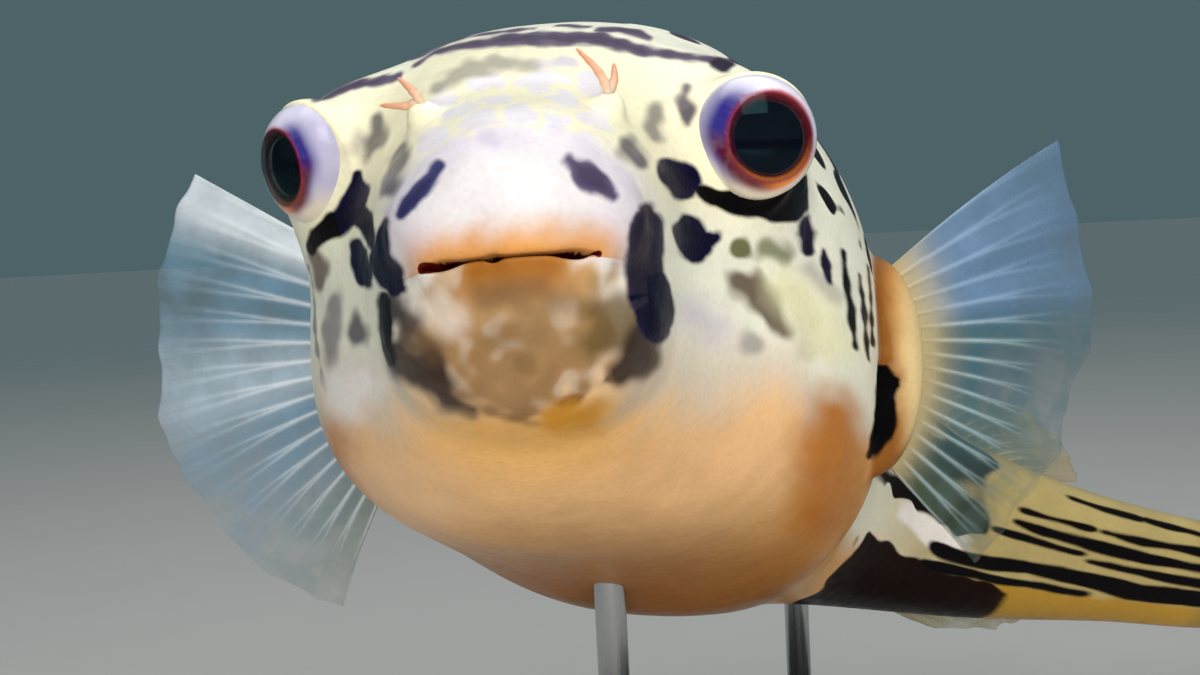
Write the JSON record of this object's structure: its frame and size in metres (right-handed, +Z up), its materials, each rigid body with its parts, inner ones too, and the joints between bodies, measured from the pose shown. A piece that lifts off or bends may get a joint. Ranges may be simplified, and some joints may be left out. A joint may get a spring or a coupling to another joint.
{
  "type": "life-size giant freshwater pufferfish model on a display stand",
  "caption": "Round-bodied freshwater puffer with turret eyes, spread pectoral fins and a tail swung to its left, held by two rods on a flat base.",
  "frame": {"origin": "middle of the flat underside of the stand's base", "axes": "+Z up, -Y the way the head faces, +X towards the fish's left side, where its tail swings"},
  "size_m": [0.4031, 0.2924, 0.2155],
  "materials": {
    "skin": "smooth scaleless skin, satin and slightly moist, cream with dark maze markings above and peach below",
    "fin_membrane": "thin translucent blue-grey membrane over pale bony rays, glossy",
    "eye": "clear polished cornea over a dark maroon iris with a lilac-white rim",
    "tentacle": "soft pink-orange skin, satin",
    "stand_base": "satin charcoal paint with fine texture",
    "stand_rod": "fine brushed steel"
  },
  "bodies": {
    "root": {"head": "skin", "lower_jaw": "skin", "trunk": "skin", "rear_body": "skin", "tail_stalk": "skin", "pectoral_base_left": "skin", "pectoral_base_right": "skin", "pectoral_fin_left": "fin_membrane", "pectoral_fin_right": "fin_membrane", "dorsal_fin": "fin_membrane", "anal_fin": "fin_membrane", "tail_fin": "fin_membrane", "eye_left": "eye", "eye_right": "eye", "nasal_tentacle_left": "tentacle", "nasal_tentacle_right": "tentacle", "stand_base": "stand_base", "stand_rod_front": "stand_rod", "stand_rod_rear": "stand_rod"}
  },
  "joints": []
}
